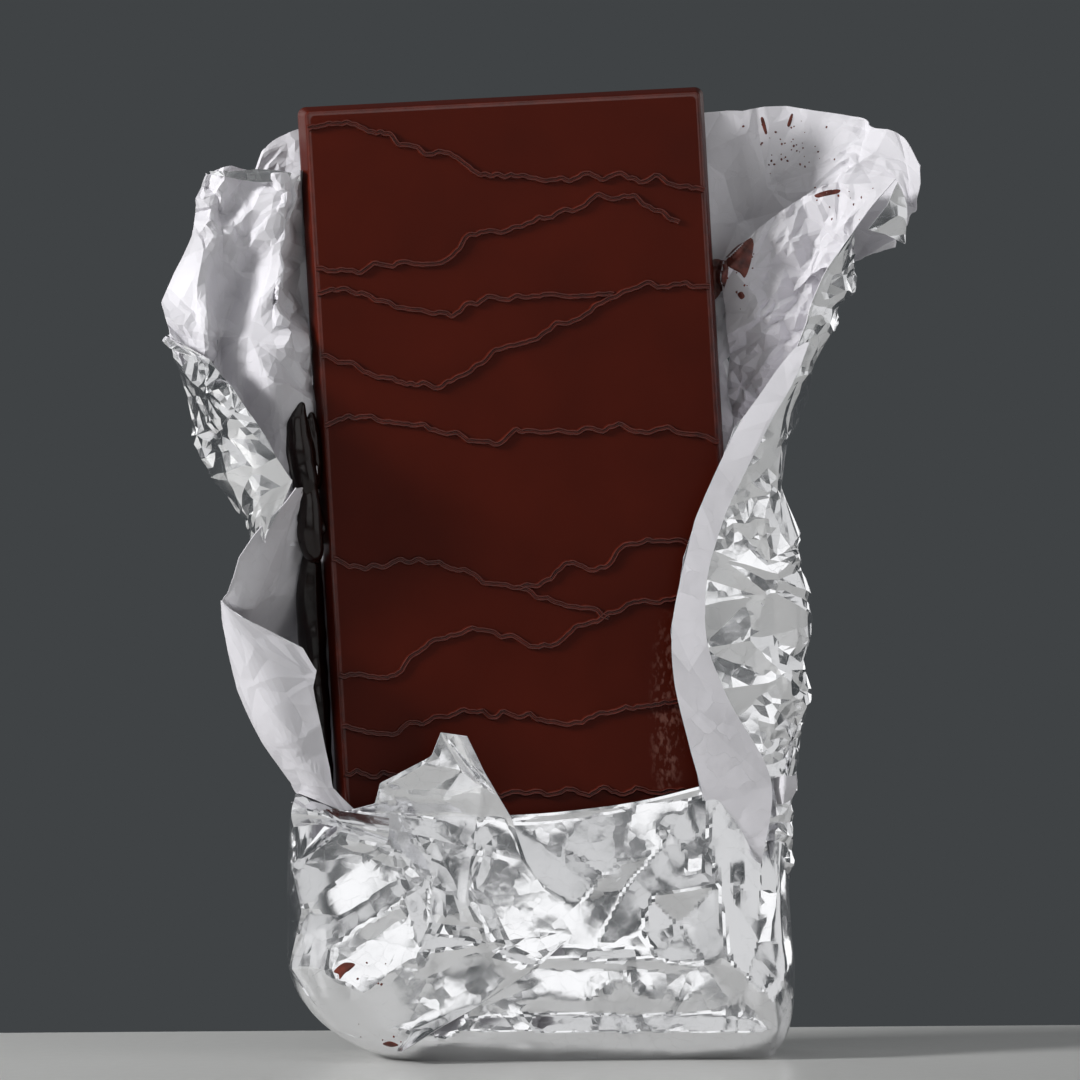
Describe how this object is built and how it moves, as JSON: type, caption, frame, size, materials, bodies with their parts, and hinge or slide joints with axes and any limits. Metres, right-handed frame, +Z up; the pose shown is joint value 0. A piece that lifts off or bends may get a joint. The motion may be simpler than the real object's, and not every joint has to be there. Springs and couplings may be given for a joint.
{
  "type": "chocolate bar in opened foil",
  "caption": "Dark chocolate tablet with wavy raised lines, standing upright in its opened, crumpled paper-backed foil.",
  "frame": {"origin": "on the flat base of the wrapper, under the front of the bar, halfway across the wrapper", "axes": "+Z up along the bar, -Y towards the side that the moulded face looks at, +X to the right of someone who looks at that face"},
  "size_m": [0.1305, 0.0302, 0.1662],
  "materials": {
    "chocolate": "satin, tempered dark chocolate",
    "foil": "crumpled paper-backed aluminium foil"
  },
  "bodies": {
    "root": {"chocolate_bar": "chocolate", "foil_wrapper": "foil"}
  },
  "joints": []
}
